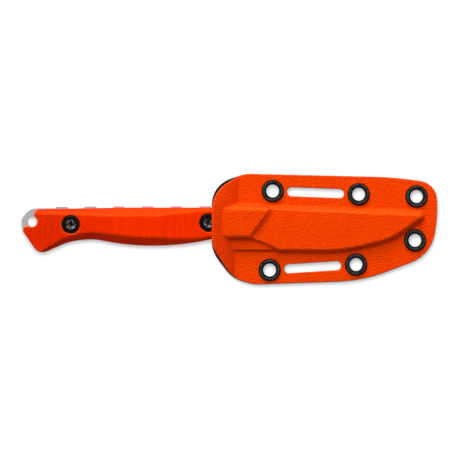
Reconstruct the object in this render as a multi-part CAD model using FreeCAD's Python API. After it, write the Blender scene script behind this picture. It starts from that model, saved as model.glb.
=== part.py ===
"""Fixed-blade rigging knife in its two-shell riveted sheath.

Lengths are millimetres. While the pieces are made, X = 0 is the lip of the sheath's mouth and X runs
towards the blade's tip, Y = 0 is the height of the guard screw and Y runs towards the spine, and
Z = 0 is the middle plane of the steel, with the sheath's front shell above it. At the end all the
pieces move together, so that the origin is under the middle of the whole knife and sheath, on the
surface that they lie on.
"""
import FreeCAD, Part
import math
import os
from FreeCAD import Vector

# ---- Steel: one plate that is blade and full tang --------------------------------------------------
STEEL_THICKNESS = 2.3
TIP_REACH = 95.6            # tip, measured from the sheath's mouth
BUTT_REACH = 87.8           # bare steel corner of the butt, measured the other way
SPINE_HEIGHT = 7.0
SPINE_BREAK_X = 9.0         # from here the spine runs straight down to the tip
TIP_HEIGHT = 3.2
EDGE_DEPTH = 11.9           # cutting edge below the guard screw
HEEL_REACH = 30.5           # where the cutting edge starts
GRIND_WIDTH = 9.5           # height of the flat grind above the edge
EDGE_BEVEL_WIDTH = 0.9
EDGE_BEVEL_THICKNESS = 0.5  # steel left where the grind meets the edge bevel
EDGE_THICKNESS = 0.06
TIP_THICKNESS = 0.9

# Grip lands along the spine of the tang
LAND_COUNT = 6
LAND_PITCH = 13.15
LAND_LENGTH = 6.6
LAND_RAMP = 1.3             # slope at each end of a land
LAND_RISE = 0.6
NOTCH_DEPTH = 0.4
FIRST_LAND_X = -3.4

# ---- Handle scales --------------------------------------------------------------------------------
SCALE_FRONT_HEIGHT = 4.05   # outer face above the middle plane, inside the sheath
SCALE_PALM_HEIGHT = 6.35    # the same at the fullest part of the grip
SCALE_BUTT_HEIGHT = 4.25
SCALE_SIDE_HEIGHT = 2.65    # where the upright side ends and the bevel starts
SCALE_FRONT_UPPER_X = 27.0  # slanting front end of the scales
SCALE_FRONT_LOWER_X = 16.4
GUARD_DEPTH = 6.5
PALM_DEPTH = 10.5
WAIST_DEPTH = 7.4
BEAK_DEPTH = 14.6

LANYARD_HOLE_DIAMETER = 4.6
LANYARD_HOLE_SETBACK = 5.2  # hole centre from the end of the butt
LANYARD_HOLE_Y = 0.6
LANYARD_RELIEF = 0.3        # the scales' edge stands this far outside the hole

# ---- Screws and barrels ---------------------------------------------------------------------------
GUARD_SCREW_X = -1.75
GUARD_SCREW_Y = 0.0
BUTT_SCREW_SETBACK = 23.1   # screw centre from the end of the butt
BUTT_SCREW_Y = -0.8
HEAD_DIAMETER = 8.2
HEAD_THICKNESS = 1.5
HEAD_CHAMFER = 0.35
HEAD_SINK = 0.05            # head below the face of the scale
HEAD_CLEARANCE = 0.12
SHANK_DIAMETER = 2.8
BARREL_DIAMETER = 4.5
BARREL_CLEARANCE = 0.05     # radial, shank in barrel and barrel in its hole
BARREL_END_GAP = 0.3        # barrel stops short of the screw heads
DISH_DIAMETER = 4.0
DISH_DEPTH = 0.3
SOCKET_DIAMETER = 1.9
SOCKET_LOBE_DIAMETER = 0.62
SOCKET_DEPTH = 1.0
SHANK_GAP = 0.4             # between the ends of the two shanks in one barrel

# ---- Sheath shells --------------------------------------------------------------------------------
SHELL_THICKNESS = 2.0
KNIFE_CLEARANCE = 0.3       # round the knife, all the way out
UPPER_FLANGE = 15.6         # flat sheet beyond the spine
LOWER_FLANGE = 16.5         # flat sheet beyond the cutting edge
TIP_FLANGE = 7.6            # flat sheet beyond the tip
FRONT_UPPER_MOUTH_RADIUS = 15.7     # corners of the flat sheet at the mouth
FRONT_LOWER_MOUTH_RADIUS = 22.0
REAR_UPPER_MOUTH_RADIUS = 9.4
REAR_LOWER_MOUTH_RADIUS = 19.4
FLARE_LENGTH = 10.3         # the lips turn outwards over this length
FLARE_HALF_TURN = 9.0       # degrees, half the turn of the lip's arc
FRONT_FLARE_RISE = 6.0
REAR_FLARE_RISE = 4.35

# Raised parts over the handle, the blade and the low channel that the heel slides out through: width of
# the pocket's 45 degree shoulder, sheet left over it where it is drawn, and how far the outside's knee
# and foot stand beyond the pocket's wall
HANDLE_SHOULDER = 1.7
HANDLE_SHOULDER_SHEET = 1.2
HANDLE_KNEE = -0.2
HANDLE_FOOT = 1.3
HANDLE_STEP_SHEET = 0.9     # more sheet than that over the slanting step down to the blade
BLADE_POCKET_HEIGHT = 2.2   # inside height above the middle plane
BLADE_SHOULDER = 1.0
BLADE_SHOULDER_SHEET = 1.75
BLADE_KNEE = 1.2
BLADE_FOOT = 1.7
CHANNEL_SHOULDER = 0.3
CHANNEL_SHOULDER_SHEET = 1.13
CHANNEL_KNEE = 0.4
CHANNEL_FOOT = 1.2

# ---- Belt slots and eyelets -----------------------------------------------------------------------
SLOT_WIDTH = 4.4
SLOT_LENGTH = 26.2
EYELET_BORE_DIAMETER = 5.9
EYELET_TUBE_WALL = 0.35
EYELET_FLANGE_DIAMETER = 10.1
EYELET_FLANGE_HEIGHT = 1.0
EYELET_ROLL_DIAMETER = 9.0
EYELET_ROLL_HEIGHT = 0.7
EYELET_HOLE_CLEARANCE = 0.05
MOUTH_UPPER_EYELET_X = 27.6
MIDDLE_UPPER_EYELET_X = 67.0
MOUTH_LOWER_EYELET_X = 26.2
MIDDLE_LOWER_EYELET_X = 65.8
TIP_EYELET_INSET = 9.7      # centres from the tip end of the sheath

HALF_STEEL = STEEL_THICKNESS / 2
SHEATH_LENGTH = TIP_REACH + TIP_FLANGE
SHEATH_TOP = SPINE_HEIGHT + UPPER_FLANGE
SHEATH_BOTTOM = -(EDGE_DEPTH + LOWER_FLANGE)
HANDLE_POCKET_HEIGHT = SCALE_FRONT_HEIGHT + KNIFE_CLEARANCE
CHANNEL_HEIGHT = HALF_STEEL + KNIFE_CLEARANCE
BUTT_SCREW_X = BUTT_SCREW_SETBACK - BUTT_REACH
LANYARD_HOLE_X = LANYARD_HOLE_SETBACK - BUTT_REACH
SCREW_PLACES = {
    "guard": (GUARD_SCREW_X, GUARD_SCREW_Y),
    "butt": (BUTT_SCREW_X, BUTT_SCREW_Y),
}
EYELET_PLACES = {
    "upper_mouth": (MOUTH_UPPER_EYELET_X, SHEATH_TOP - 8.0),
    "upper_middle": (MIDDLE_UPPER_EYELET_X, SHEATH_TOP - 9.5),
    "upper_tip": (SHEATH_LENGTH - TIP_EYELET_INSET, SHEATH_TOP - 10.5),
    "lower_tip": (SHEATH_LENGTH - TIP_EYELET_INSET - 0.7, SHEATH_BOTTOM + 20.4),
    "lower_middle": (MIDDLE_LOWER_EYELET_X, SHEATH_BOTTOM + 9.3),
    "lower_mouth": (MOUTH_LOWER_EYELET_X, SHEATH_BOTTOM + 6.8),
}
SLOT_ROWS = (("upper_mouth", "upper_middle"), ("lower_mouth", "lower_middle"))
FRONT_MOUTH_RADII = (FRONT_UPPER_MOUTH_RADIUS, FRONT_LOWER_MOUTH_RADIUS)
REAR_MOUTH_RADII = (REAR_UPPER_MOUTH_RADIUS, REAR_LOWER_MOUTH_RADIUS)


# ---- Outlines: counter-clockwise corners (x, y, radius), joined by tangent arcs --------------------
def sheath_corners(mouth_radii):
    """Edge of the flat sheet; its two corners at the mouth, upper and lower, differ between the shells."""
    upper, lower = mouth_radii
    return [
        (0, SHEATH_BOTTOM + 5.9, lower),
        (19.2, SHEATH_BOTTOM, 16.7),
        (SHEATH_LENGTH - 34.3, SHEATH_BOTTOM + 1.7, 71.0),
        (SHEATH_LENGTH - 2.9, SHEATH_BOTTOM + 13.6, 17.4),
        (SHEATH_LENGTH + 0.3, 3.1, 61.0),
        (SHEATH_LENGTH - 0.6, SHEATH_TOP - 4.3, 8.9),
        (SHEATH_LENGTH - 20.6, SHEATH_TOP - 1.6, 150.0),
        (15.7, SHEATH_TOP, 17.8),
        (0, SHEATH_TOP - 5.8, upper),
    ]


def spine_height(x):
    """Height of the straight spine in front of the guard."""
    drop = (SPINE_HEIGHT - TIP_HEIGHT) / (TIP_REACH - SPINE_BREAK_X)
    return SPINE_HEIGHT - drop * (x - SPINE_BREAK_X)


def edge_corners():
    """Cutting edge from the heel round the belly to the tip."""
    return [
        (HEEL_REACH, -EDGE_DEPTH, 1.0),
        (TIP_REACH - 35.6, -EDGE_DEPTH - 0.2, 64.0),
        (TIP_REACH - 14.0, TIP_HEIGHT - 9.9, 32.0),
        (TIP_REACH, TIP_HEIGHT, 0.4),
    ]


def underside_corners():
    """Underside of the grip from the beak at the butt to the guard."""
    return [
        (8.5 - BUTT_REACH, -BEAK_DEPTH, 4.5),
        (22.4 - BUTT_REACH, -WAIST_DEPTH - 1.0, 27.0),
        (33.3 - BUTT_REACH, -WAIST_DEPTH, 24.0),
        (-39.0, 0.2 - PALM_DEPTH, 115.0),
        (-15.6, -0.2 - PALM_DEPTH, 120.0),
        (4.4, -GUARD_DEPTH, 17.8),
    ]


def scale_front_corners():
    """Slanting front end of the scales, up to the spine."""
    return [
        (SCALE_FRONT_LOWER_X, -GUARD_DEPTH, 1.0),
        (SCALE_FRONT_UPPER_X, spine_height(SCALE_FRONT_UPPER_X), 1.0),
        (SPINE_BREAK_X, SPINE_HEIGHT, 120.0),
    ]


def choil_corners():
    """Hollow slope in front of the guard, down to the heel of the edge."""
    return [
        (SCALE_FRONT_LOWER_X + 0.9, -GUARD_DEPTH, 2.0),
        (HEEL_REACH - 6.5, -EDGE_DEPTH + 3.5, 12.0),
    ]


def steel_corners():
    """The whole plate: edge, spine, butt, underside and the choil in front of the guard."""
    spine = [
        (SPINE_BREAK_X, SPINE_HEIGHT, 120.0),
        (-40.0, SPINE_HEIGHT, 300.0),
        (4.3 - BUTT_REACH, SPINE_HEIGHT - 0.4, 7.0),
        (-BUTT_REACH, 1.8, 4.5),
        (0.7 - BUTT_REACH, -3.4, 1.5),
    ]
    return edge_corners() + spine + underside_corners() + choil_corners()


def scale_corners():
    """One handle scale, from its slanting front end to the step beside the lanyard hole."""
    step_y = LANYARD_HOLE_Y - LANYARD_HOLE_DIAMETER / 2
    return scale_front_corners() + [
        (-40.0, SPINE_HEIGHT, 300.0),
        (LANYARD_HOLE_X + 1.2, SPINE_HEIGHT - 0.75, 1.0),
        (LANYARD_HOLE_X + 1.2, step_y, 0.4),
        (1.7 - BUTT_REACH, step_y, 0.9),
        (1.0 - BUTT_REACH, step_y - 2.0, 0.9),
    ] + underside_corners()


def bevel_corners():
    """Line that the long bevels start from: the scale's own edge, run out past the butt.

    Below the butt it leaves the edge slowly, so that the lower bevel fades out towards the beak.
    """
    return scale_front_corners() + [
        (-40.0, SPINE_HEIGHT, 300.0),
        (-BUTT_REACH - 12, SPINE_HEIGHT - 0.95, 1.0),
        (-BUTT_REACH - 12, -BEAK_DEPTH - 11.8, 1.0),
    ] + underside_corners()[1:]


def handle_pocket_corners():
    """Room for the front of the scales, run out through the mouth."""
    palm_front, guard = underside_corners()[-2:]
    return scale_front_corners() + [
        (palm_front[0], SPINE_HEIGHT, 0.5),
        (palm_front[0], palm_front[1], 0.5),
        guard,
    ]


def handle_form_corners():
    """Line of the handle form's outside: the pocket's own, drawn in along both long sides."""
    draw = HANDLE_STEP_SHEET
    palm_front, guard = underside_corners()[-2:]
    spine = spine_height(SCALE_FRONT_UPPER_X)
    slant = draw * (SCALE_FRONT_UPPER_X - SCALE_FRONT_LOWER_X) / (spine + GUARD_DEPTH)
    return [
        (SCALE_FRONT_LOWER_X + slant, draw - GUARD_DEPTH, 1.0),
        (SCALE_FRONT_UPPER_X - slant, spine - draw, 1.0),
        (SPINE_BREAK_X, SPINE_HEIGHT - draw, 120.0),
        (palm_front[0], SPINE_HEIGHT - draw, 0.5),
        (palm_front[0], palm_front[1] + draw, 0.5),
        (guard[0], guard[1] + draw, guard[2]),
    ]


def blade_pocket_corners():
    """Room for the blade, following its edge, its spine and the slope of the choil."""
    return [(SPINE_BREAK_X, -GUARD_DEPTH + 3.4, 1.0)] + choil_corners() + edge_corners() + [
        (SPINE_BREAK_X, SPINE_HEIGHT, 1.0),
    ]


def channel_corners():
    """Low way out for the heel and the belly of the blade."""
    return [
        (-FLARE_LENGTH, -EDGE_DEPTH, 0.5),
        (HEEL_REACH + 6.0, -EDGE_DEPTH, 1.0),
        (HEEL_REACH + 6.0, 0, 1.0),
        (-FLARE_LENGTH, 0, 0.5),
    ]


# ---- Shape helpers --------------------------------------------------------------------------------
def outline(corners, offset=0.0, z=0.0):
    """Closed wire of straight sides and tangent arcs, all moved outwards by offset.

    Each corner point moves along its bisector, outer radii grow and inner ones shrink by the offset,
    and a radius is limited where its arc would run past the ends of its two sides.
    """
    count = len(corners)
    points = [Vector(x, y, 0) for x, y, radius in corners]
    ways = [(points[(i + 1) % count] - points[i]).normalize() for i in range(count)]
    moved = []
    reaches = []
    radii = []
    for i in range(count):
        before = Vector(ways[i - 1].y, -ways[i - 1].x, 0)
        after = Vector(ways[i].y, -ways[i].x, 0)
        moved.append(points[i] + (before + after) * (offset / (1 + before.dot(after))))
        convex = before.cross(after).z > 0
        radii.append(max(corners[i][2] + (offset if convex else -offset), 0.05))
        reaches.append(radii[i] * math.tan(before.getAngle(after) / 2))
    lengths = [(moved[(i + 1) % count] - moved[i]).Length for i in range(count)]
    starts = []
    arcs = []
    ends = []
    for i in range(count):
        after = (i + 1) % count
        room_before = lengths[i - 1] / (reaches[i - 1] + reaches[i])
        room_after = lengths[i] / (reaches[i] + reaches[after])
        share = min(1.0, 0.999 * room_before, 0.999 * room_after)
        reach = reaches[i] * share
        radius = radii[i] * share
        start = moved[i] - ways[i - 1] * reach
        end = moved[i] + ways[i] * reach
        inwards = ((start + end) / 2 - moved[i]).normalize()
        middle = moved[i] + inwards * (math.hypot(radius, reach) - radius)
        lift = Vector(0, 0, z)
        starts.append(start + lift)
        ends.append(end + lift)
        arcs.append(Part.Arc(start + lift, middle + lift, end + lift).toShape())
    edges = []
    for i in range(count):
        edges.append(arcs[i])
        edges.append(Part.LineSegment(ends[i], starts[(i + 1) % count]).toShape())
    return Part.Wire(edges)


def plate(corners, bottom, top, offset=0.0):
    """Flat plate between two heights."""
    return Part.Face(outline(corners, offset, bottom)).extrude(Vector(0, 0, top - bottom))


def stack(corners, levels):
    """Solid through the outline at several (offset, height) levels, with straight sides between."""
    return Part.makeLoft([outline(corners, offset, z) for offset, z in levels], True, True)


def upright(x, y, radius, bottom, top):
    """Cylinder along Z."""
    return Part.makeCylinder(radius, top - bottom, Vector(x, y, bottom))


def box(x0, y0, z0, x1, y1, z1):
    """Box from its lowest to its highest corner."""
    return Part.makeBox(x1 - x0, y1 - y0, z1 - z0, Vector(x0, y0, z0))


def turned(profile, x, y):
    """Solid of revolution about an upright axis; profile is a closed list of (radius, z)."""
    points = [Vector(x + radius, y, z) for radius, z in profile]
    face = Part.Face(Part.makePolygon(points + points[:1]))
    return face.revolve(Vector(x, y, 0), Vector(0, 0, 1), 360)


def mirrored(shape):
    """The same piece on the rear side of the middle plane."""
    return shape.mirror(Vector(0, 0, 0), Vector(0, 0, 1))


# ---- Steel ----------------------------------------------------------------------------------------
def blade_stations():
    """Places along the blade for its ground sections, closer together round the belly."""
    first = HEEL_REACH + 1.5
    last = TIP_REACH - 0.8
    count = 18
    return [first + (last - first) * (1 - (1 - i / count) ** 1.5) for i in range(count + 1)]


def ground_section(face, x):
    """Closed wire across the ground blade at x: spine, flat grind, edge bevel."""
    chord = face.common(Part.makeLine(Vector(x, -100, 0), Vector(x, 100, 0))).BoundBox
    depth = chord.YMax - chord.YMin
    taper = min(1.0, (TIP_REACH - x) / 30.0)
    spine = TIP_THICKNESS / 2 + (HALF_STEEL - TIP_THICKNESS / 2) * taper
    bevel = EDGE_BEVEL_THICKNESS / 2
    sides = [
        (chord.YMax, spine),
        (chord.YMin + min(GRIND_WIDTH, 0.8 * depth), spine),
        (chord.YMin + min(EDGE_BEVEL_WIDTH, 0.3 * depth), bevel),
        (chord.YMin, EDGE_THICKNESS / 2),
    ]
    ring = [Vector(x, y, z) for y, z in sides] + [Vector(x, y, -z) for y, z in reversed(sides)]
    return Part.makePolygon(ring + ring[:1])


def land_block(start):
    """Block with ramped ends that one grip land is cut from."""
    foot = SPINE_HEIGHT - NOTCH_DEPTH - 0.5
    crown = foot + 2 * (LAND_RISE + NOTCH_DEPTH)
    return plate([
        (start, 0, 0.1),
        (start + LAND_LENGTH, 0, 0.1),
        (start + LAND_LENGTH, foot, 0.4),
        (start + LAND_LENGTH - LAND_RAMP, crown, 0.4),
        (start + LAND_RAMP, crown, 0.4),
        (start, foot, 0.4),
    ], -HALF_STEEL, HALF_STEEL)


def make_steel():
    """Blade and full tang from one plate: ground blade, grip lands, screw and lanyard holes."""
    corners = steel_corners()
    face = Part.Face(outline(corners))
    stations = blade_stations()
    ground = Part.makeLoft([ground_section(face, x) for x in stations], True, True)
    tang = plate(corners, -HALF_STEEL, HALF_STEEL)
    tang = tang.cut(box(stations[0], -100, -10, TIP_REACH + 10, 100, 10))
    lands = plate(corners, -HALF_STEEL, HALF_STEEL, LAND_RISE)
    notches = plate(corners, -HALF_STEEL, HALF_STEEL).cut(
        plate(corners, -HALF_STEEL, HALF_STEEL, -NOTCH_DEPTH))
    first_start = FIRST_LAND_X - LAND_LENGTH / 2
    for i in range(LAND_COUNT):
        start = first_start - i * LAND_PITCH
        tang = tang.fuse(lands.common(land_block(start)))
        if i < LAND_COUNT - 1:
            gap = box(start - LAND_PITCH + LAND_LENGTH, 0, -HALF_STEEL,
                      start, SPINE_HEIGHT + 5, HALF_STEEL)
            tang = tang.cut(notches.common(gap))
    steel = tang.fuse(ground)
    for x, y in SCREW_PLACES.values():
        radius = BARREL_DIAMETER / 2 + BARREL_CLEARANCE
        steel = steel.cut(upright(x, y, radius, -HALF_STEEL, HALF_STEEL))
    hole = upright(LANYARD_HOLE_X, LANYARD_HOLE_Y, LANYARD_HOLE_DIAMETER / 2,
                   -HALF_STEEL, HALF_STEEL)
    return steel.cut(hole).removeSplitter()


# ---- Handle ---------------------------------------------------------------------------------------
def face_profile():
    """Side view of the grip's outer face: thin at the guard, full in the palm, thinner at the butt."""
    below = HALF_STEEL - 1
    return [
        (-BUTT_REACH, below, 0.1),
        (SCALE_FRONT_UPPER_X + 5, below, 0.1),
        (SCALE_FRONT_UPPER_X + 5, SCALE_FRONT_HEIGHT, 0.1),
        (-5.0, SCALE_FRONT_HEIGHT, 35.0),
        (-25.5, SCALE_PALM_HEIGHT, 50.0),
        (-43.5, SCALE_PALM_HEIGHT, 60.0),
        (-BUTT_REACH, SCALE_BUTT_HEIGHT, 0.1),
    ]


def face_body():
    """Everything under the face profile, as a block across the grip."""
    side = outline(face_profile())
    side.rotate(Vector(0, 0, 0), Vector(1, 0, 0), 90)
    side.translate(Vector(0, 50, 0))
    return Part.Face(side).extrude(Vector(0, -100, 0))


def face_height(x, y):
    """Height of the grip's outer face at a screw."""
    column = upright(x, y, 0.1, HALF_STEEL, SCALE_PALM_HEIGHT + 5)
    return column.common(face_body()).BoundBox.ZMax


def seat_height(place):
    """Underside of a screw head, above the middle plane."""
    x, y = SCREW_PLACES[place]
    return face_height(x, y) - HEAD_SINK - HEAD_THICKNESS


def make_scale():
    """Front scale: upright side, 45 degree bevel, swelling face, screw seats and lanyard relief."""
    bevel = SCALE_PALM_HEIGHT + 0.1 - SCALE_SIDE_HEIGHT
    bevelled = stack(bevel_corners(), [
        (0, HALF_STEEL),
        (0, SCALE_SIDE_HEIGHT),
        (-bevel, SCALE_SIDE_HEIGHT + bevel),
    ])
    scale = plate(scale_corners(), HALF_STEEL, SCALE_SIDE_HEIGHT + bevel)
    scale = scale.common(bevelled).common(face_body())
    relief = LANYARD_HOLE_DIAMETER / 2 + LANYARD_RELIEF
    scale = scale.cut(upright(LANYARD_HOLE_X, LANYARD_HOLE_Y, relief, 0, SCALE_PALM_HEIGHT + 5))
    for place, (x, y) in SCREW_PLACES.items():
        seat = seat_height(place)
        barrel = BARREL_DIAMETER / 2 + BARREL_CLEARANCE
        head = HEAD_DIAMETER / 2 + HEAD_CLEARANCE
        scale = scale.cut(upright(x, y, barrel, 0, seat))
        scale = scale.cut(upright(x, y, head, seat, SCALE_PALM_HEIGHT + 5))
    return scale.removeSplitter()


def make_screw(place):
    """Front screw: broad chamfered head with a dished six-lobe socket, and a plain shank."""
    x, y = SCREW_PLACES[place]
    seat = seat_height(place)
    top = seat + HEAD_THICKNESS
    head = HEAD_DIAMETER / 2
    dish = DISH_DIAMETER / 2
    socket = SOCKET_DIAMETER / 2
    shank = SHANK_DIAMETER / 2
    screw = turned([
        (0, SHANK_GAP / 2), (shank, SHANK_GAP / 2), (shank, seat), (head, seat),
        (head, top - HEAD_CHAMFER), (head - HEAD_CHAMFER, top), (dish, top),
        (socket, top - DISH_DEPTH), (0, top - DISH_DEPTH),
    ], x, y)
    screw = screw.cut(upright(x, y, socket, top - SOCKET_DEPTH, top))
    for i in range(6):
        turn = math.radians(60 * i)
        lobe = upright(x + socket * math.cos(turn), y + socket * math.sin(turn),
                       SOCKET_LOBE_DIAMETER / 2, top - SOCKET_DEPTH, top)
        screw = screw.cut(lobe)
    return screw


def make_barrel(place):
    """Threaded barrel through the tang, which the two screws of one place draw up on."""
    x, y = SCREW_PLACES[place]
    end = seat_height(place) - BARREL_END_GAP
    outer = upright(x, y, BARREL_DIAMETER / 2, -end, end)
    return outer.cut(upright(x, y, SHANK_DIAMETER / 2 + BARREL_CLEARANCE, -end, end))


# ---- Sheath ---------------------------------------------------------------------------------------
def pocket(corners, height, shoulder):
    """Inside of one raised part of a shell, clear of the knife by the clearance."""
    return stack(corners, [
        (KNIFE_CLEARANCE, 0),
        (KNIFE_CLEARANCE, height - shoulder),
        (KNIFE_CLEARANCE - shoulder, height),
    ])


def form(corners, drawn_in, height, shoulder, shoulder_sheet, knee, foot):
    """Outside of one raised part: full sheet over the top, less over the shoulder, a side to the foot.

    Its corners are those of the pocket, or stand drawn_in inside them.
    """
    wall = KNIFE_CLEARANCE + drawn_in
    top = height + SHELL_THICKNESS
    shoulder_face = height - shoulder + shoulder_sheet * math.sqrt(2)
    return stack(corners, [
        (wall + foot, 0),
        (wall + foot, SHELL_THICKNESS),
        (wall + knee, shoulder_face - knee),
        (wall + shoulder_face - top, top),
    ])


def flare(rise):
    """Inside and outside of the turned-out lip: two round bars across the mouth, on one axis."""
    chord = math.hypot(FLARE_LENGTH, rise)
    half_turn = math.radians(FLARE_HALF_TURN)
    radius = chord / (2 * math.sin(half_turn))
    lip_slope = math.atan2(rise, FLARE_LENGTH) - half_turn
    x = -radius * math.sin(lip_slope)
    z = SHELL_THICKNESS + rise - radius * math.cos(lip_slope)
    below = Vector(x, SHEATH_BOTTOM - 5, z)
    across = SHEATH_TOP - SHEATH_BOTTOM + 10
    above = box(-100, -100, 0, 100, 100, 100)
    inside = Part.makeCylinder(radius - SHELL_THICKNESS, across, below, Vector(0, 1, 0))
    outside = Part.makeCylinder(radius, across, below, Vector(0, 1, 0))
    return inside.common(above), outside.common(above)


def slot(row):
    """Strap slot with round ends, halfway between the two eyelets of its row and in line with them."""
    first = Vector(*EYELET_PLACES[row[0]], 0)
    second = Vector(*EYELET_PLACES[row[1]], 0)
    way = (second - first).normalize()
    side = Vector(-way.y, way.x, 0) * (SLOT_WIDTH / 2)
    middle = (first + second) / 2
    reach = way * (SLOT_LENGTH / 2 - SLOT_WIDTH / 2)
    low = Vector(0, 0, -1)
    ends = (middle - reach, middle + reach)
    edges = [
        Part.LineSegment(ends[0] - side, ends[1] - side).toShape(),
        Part.Arc(ends[1] - side, ends[1] + way * (SLOT_WIDTH / 2), ends[1] + side).toShape(),
        Part.LineSegment(ends[1] + side, ends[0] + side).toShape(),
        Part.Arc(ends[0] + side, ends[0] - way * (SLOT_WIDTH / 2), ends[0] - side).toShape(),
    ]
    hole = Part.Face(Part.Wire(edges))
    hole.translate(low)
    return hole.extrude(Vector(0, 0, SHELL_THICKNESS + 2))


def make_shell(mouth_radii, flare_rise):
    """Front shell: flat sheet with raised handle, blade and channel parts, flared mouth, holes."""
    corners = sheath_corners(mouth_radii)
    lip_inside, lip_outside = flare(flare_rise)
    insides = [
        pocket(handle_pocket_corners(), HANDLE_POCKET_HEIGHT, HANDLE_SHOULDER),
        pocket(blade_pocket_corners(), BLADE_POCKET_HEIGHT, BLADE_SHOULDER),
        pocket(channel_corners(), CHANNEL_HEIGHT, CHANNEL_SHOULDER),
        lip_inside,
    ]
    outsides = [
        form(handle_form_corners(), HANDLE_STEP_SHEET, HANDLE_POCKET_HEIGHT, HANDLE_SHOULDER,
             HANDLE_SHOULDER_SHEET, HANDLE_KNEE, HANDLE_FOOT),
        form(blade_pocket_corners(), 0, BLADE_POCKET_HEIGHT, BLADE_SHOULDER,
             BLADE_SHOULDER_SHEET, BLADE_KNEE, BLADE_FOOT),
        form(channel_corners(), 0, CHANNEL_HEIGHT, CHANNEL_SHOULDER,
             CHANNEL_SHOULDER_SHEET, CHANNEL_KNEE, CHANNEL_FOOT),
        lip_outside,
    ]
    highest = SHELL_THICKNESS + max(flare_rise, HANDLE_POCKET_HEIGHT) + 1
    shell = plate(corners, 0, SHELL_THICKNESS).multiFuse(outsides)
    shell = shell.common(plate(corners, 0, highest))
    for inside in insides:
        shell = shell.cut(inside)
    for row in SLOT_ROWS:
        shell = shell.cut(slot(row))
    hole = EYELET_BORE_DIAMETER / 2 + EYELET_TUBE_WALL + EYELET_HOLE_CLEARANCE
    for x, y in EYELET_PLACES.values():
        shell = shell.cut(upright(x, y, hole, -1, SHELL_THICKNESS + 1))
    return shell.removeSplitter()


def make_eyelet(x, y):
    """Tubular eyelet: domed flange on the front shell, tube, and an edge rolled over at the back."""
    bore = EYELET_BORE_DIAMETER / 2
    tube = bore + EYELET_TUBE_WALL
    face = SHELL_THICKNESS
    dome = face + EYELET_FLANGE_HEIGHT
    roll = -face - EYELET_ROLL_HEIGHT
    rim = EYELET_FLANGE_DIAMETER / 2
    rolled = EYELET_ROLL_DIAMETER / 2
    return turned([
        (bore, roll + 0.2), (bore, dome - 0.3), (bore + 0.3, dome), (rim - 0.9, dome),
        (rim - 0.2, dome - 0.4), (rim, face + 0.2), (rim, face), (tube, face), (tube, -face),
        (rolled, -face), (rolled, -face - 0.2), (rolled - 0.4, roll), (bore + 0.2, roll),
    ], x, y)


# ---- Assembly -------------------------------------------------------------------------------------
def make_pieces():
    """Every piece by name, in place."""
    scale = make_scale()
    pieces = {
        "sheath_front_shell": make_shell(FRONT_MOUTH_RADII, FRONT_FLARE_RISE),
        "sheath_rear_shell": mirrored(make_shell(REAR_MOUTH_RADII, REAR_FLARE_RISE)),
        "blade_and_tang": make_steel(),
        "scale_front": scale,
        "scale_rear": mirrored(scale),
    }
    for name, (x, y) in EYELET_PLACES.items():
        pieces["eyelet_" + name] = make_eyelet(x, y)
    for place in SCREW_PLACES:
        screw = make_screw(place)
        pieces["barrel_" + place] = make_barrel(place)
        pieces["screw_front_" + place] = screw
        pieces["screw_rear_" + place] = mirrored(screw)
    return pieces


def main():
    """Make the pieces, put the origin under their middle and write one file for each."""
    pieces = make_pieces()
    bounds = Part.makeCompound(list(pieces.values())).optimalBoundingBox(False, False)
    shift = Vector(-(bounds.XMin + bounds.XMax) / 2, -(bounds.YMin + bounds.YMax) / 2, -bounds.ZMin)
    print("moved by", shift, "size", bounds.XLength, bounds.YLength, bounds.ZLength)
    os.makedirs("parts", exist_ok=True)
    for name, shape in pieces.items():
        shape.translate(shift)
        shape.exportStep("parts/" + name + ".step")
        print(name, len(shape.Solids), "solid", round(shape.Volume, 1), shape.isValid())


main()
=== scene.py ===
import bmesh
import bpy
import math
import numpy as np
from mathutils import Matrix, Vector


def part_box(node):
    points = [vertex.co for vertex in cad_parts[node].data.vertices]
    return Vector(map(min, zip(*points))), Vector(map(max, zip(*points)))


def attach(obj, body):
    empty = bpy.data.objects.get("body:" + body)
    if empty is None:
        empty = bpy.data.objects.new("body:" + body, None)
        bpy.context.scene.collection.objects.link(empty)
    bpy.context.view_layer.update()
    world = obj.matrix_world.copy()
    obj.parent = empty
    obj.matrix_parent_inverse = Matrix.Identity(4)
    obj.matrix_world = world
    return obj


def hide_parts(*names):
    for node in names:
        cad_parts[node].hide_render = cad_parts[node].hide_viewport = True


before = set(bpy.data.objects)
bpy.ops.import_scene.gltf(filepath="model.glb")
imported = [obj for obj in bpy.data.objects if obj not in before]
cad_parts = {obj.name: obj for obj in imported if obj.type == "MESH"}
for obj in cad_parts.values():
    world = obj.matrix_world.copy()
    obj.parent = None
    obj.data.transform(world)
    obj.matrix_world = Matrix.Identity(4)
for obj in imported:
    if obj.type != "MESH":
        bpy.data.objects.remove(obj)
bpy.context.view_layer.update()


# ---- Steel: blade and full tang --------------------------------------------------------------------
# One plate of 2.3 mm steel is the blade and the whole core of the grip. It is cut to outline, ground
# flat from both sides down to a narrow edge bevel, drilled for the screws and the lanyard, and
# tumbled with stones, which leaves a dull grey skin with small pits and scratches.
MM = 0.001
STEEL_ROUNDING = 0.14
STEEL_SHARP_TURN = 12.0
FACET_TURN = 0.3
FACET_WELD = 0.0005


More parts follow.
